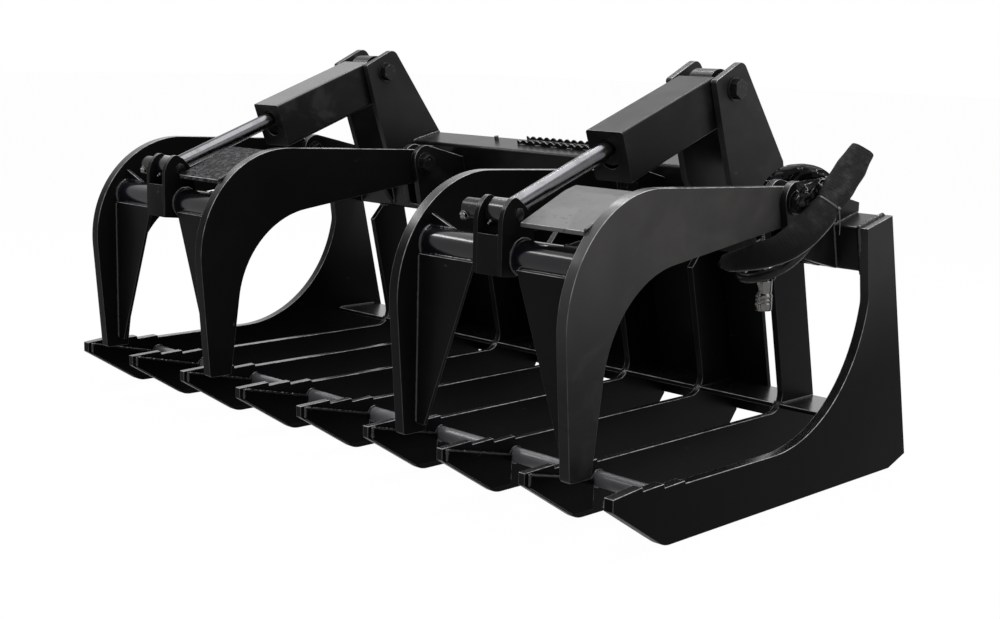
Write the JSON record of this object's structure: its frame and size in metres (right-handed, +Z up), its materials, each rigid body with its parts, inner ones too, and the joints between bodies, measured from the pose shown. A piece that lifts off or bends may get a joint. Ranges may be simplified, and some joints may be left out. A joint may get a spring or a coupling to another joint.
{
  "type": "root grapple attachment",
  "caption": "Root grapple with sloped tines, two hydraulic clamps on hinged arms, and a leaning quick-attach back.",
  "frame": {"origin": "on the ground under the middle of the tool's box, hoses left out", "axes": "+X to the tool's right seen from its front, -Y towards the tine tips, +Z up"},
  "size_m": [1.8288, 1.1067, 0.9],
  "materials": {
    "black_paint": "semi-gloss",
    "chrome_rod": "polished",
    "dark_steel": "semi-gloss",
    "bright_steel": "satin",
    "hose_rubber": "gloss",
    "sleeve_fabric": "woven"
  },
  "bodies": {
    "frame": {"left_side_plate": "black_paint", "right_side_plate": "black_paint", "tine_1": "black_paint", "tine_2": "black_paint", "tine_3": "black_paint", "tine_4": "black_paint", "tine_5": "black_paint", "tine_6": "black_paint", "tine_7": "black_paint", "tooth_plates": "black_paint", "front_cross_tubes": "black_paint", "lower_shelf": "black_paint", "mount_plate": "black_paint", "top_beam": "black_paint", "upper_tube": "black_paint", "tower_gussets": "black_paint", "step_grip": "black_paint", "top_stud": "bright_steel", "left_tower_ears": "black_paint", "right_tower_ears": "black_paint", "tower_rear_plates": "black_paint", "hinge_ears": "black_paint", "hinge_bolts": "dark_steel", "hinge_nuts": "dark_steel", "base_pins": "dark_steel", "base_pin_nuts": "dark_steel", "hose_bulkheads": "bright_steel", "hanging_hose": "hose_rubber", "sleeved_hose": "hose_rubber", "hose_sleeve": "sleeve_fabric", "hose_coupler": "bright_steel"},
    "left_clamp": {"left_outer_arm": "black_paint", "left_inner_arm": "black_paint", "left_arm_bushes": "dark_steel", "left_cross_tube": "black_paint", "left_rod_lugs": "black_paint", "left_front_plates": "black_paint", "left_top_plates": "black_paint", "left_rod_pin": "chrome_rod"},
    "left_piston_rod": {"left_rod": "chrome_rod", "left_piston": "chrome_rod"},
    "left_cylinder": {"left_gland": "dark_steel", "left_barrel": "black_paint", "left_cover": "black_paint"},
    "right_clamp": {"right_outer_arm": "black_paint", "right_inner_arm": "black_paint", "right_arm_bushes": "dark_steel", "right_cross_tube": "black_paint", "right_rod_lugs": "black_paint", "right_front_plates": "black_paint", "right_top_plates": "black_paint", "right_rod_pin": "chrome_rod"},
    "right_piston_rod": {"right_rod": "chrome_rod", "right_piston": "chrome_rod"},
    "right_cylinder": {"right_gland": "dark_steel", "right_barrel": "black_paint", "right_cover": "black_paint"}
  },
  "joints": [
    {"name": "left_clamp_hinge", "type": "hinge", "parent": "frame", "child": "left_clamp", "pos_m": [-0.5715, 0.13081, 0.615], "axis": [-1, 0, 0], "range_deg": [0, 52]},
    {"name": "left_rod_hinge", "type": "hinge", "parent": "left_clamp", "child": "left_piston_rod", "pos_m": [-0.5715, -0.47319, 0.607], "axis": [-1, 0, 0], "range_deg": [-3, 1]},
    {"name": "left_cylinder_slide", "type": "slide", "parent": "left_piston_rod", "child": "left_cylinder", "axis": [0, -0.9368, -0.3499], "range_m": [0, 0.2032]},
    {"name": "right_clamp_hinge", "type": "hinge", "parent": "frame", "child": "right_clamp", "pos_m": [0.5715, 0.13081, 0.615], "axis": [-1, 0, 0], "range_deg": [0, 52]},
    {"name": "right_rod_hinge", "type": "hinge", "parent": "right_clamp", "child": "right_piston_rod", "pos_m": [0.5715, -0.47319, 0.607], "axis": [-1, 0, 0], "range_deg": [-3, 1]},
    {"name": "right_cylinder_slide", "type": "slide", "parent": "right_piston_rod", "child": "right_cylinder", "axis": [0, -0.9368, -0.3499], "range_m": [0, 0.2032]}
  ],
  "couplings": [
    {"joint": "left_rod_hinge", "follows": "left_clamp_hinge", "ratio": -0.0458},
    {"joint": "left_cylinder_slide", "follows": "left_clamp_hinge", "m_per_rad": 0.22103},
    {"joint": "right_rod_hinge", "follows": "right_clamp_hinge", "ratio": -0.0458},
    {"joint": "right_cylinder_slide", "follows": "right_clamp_hinge", "m_per_rad": 0.22103}
  ]
}
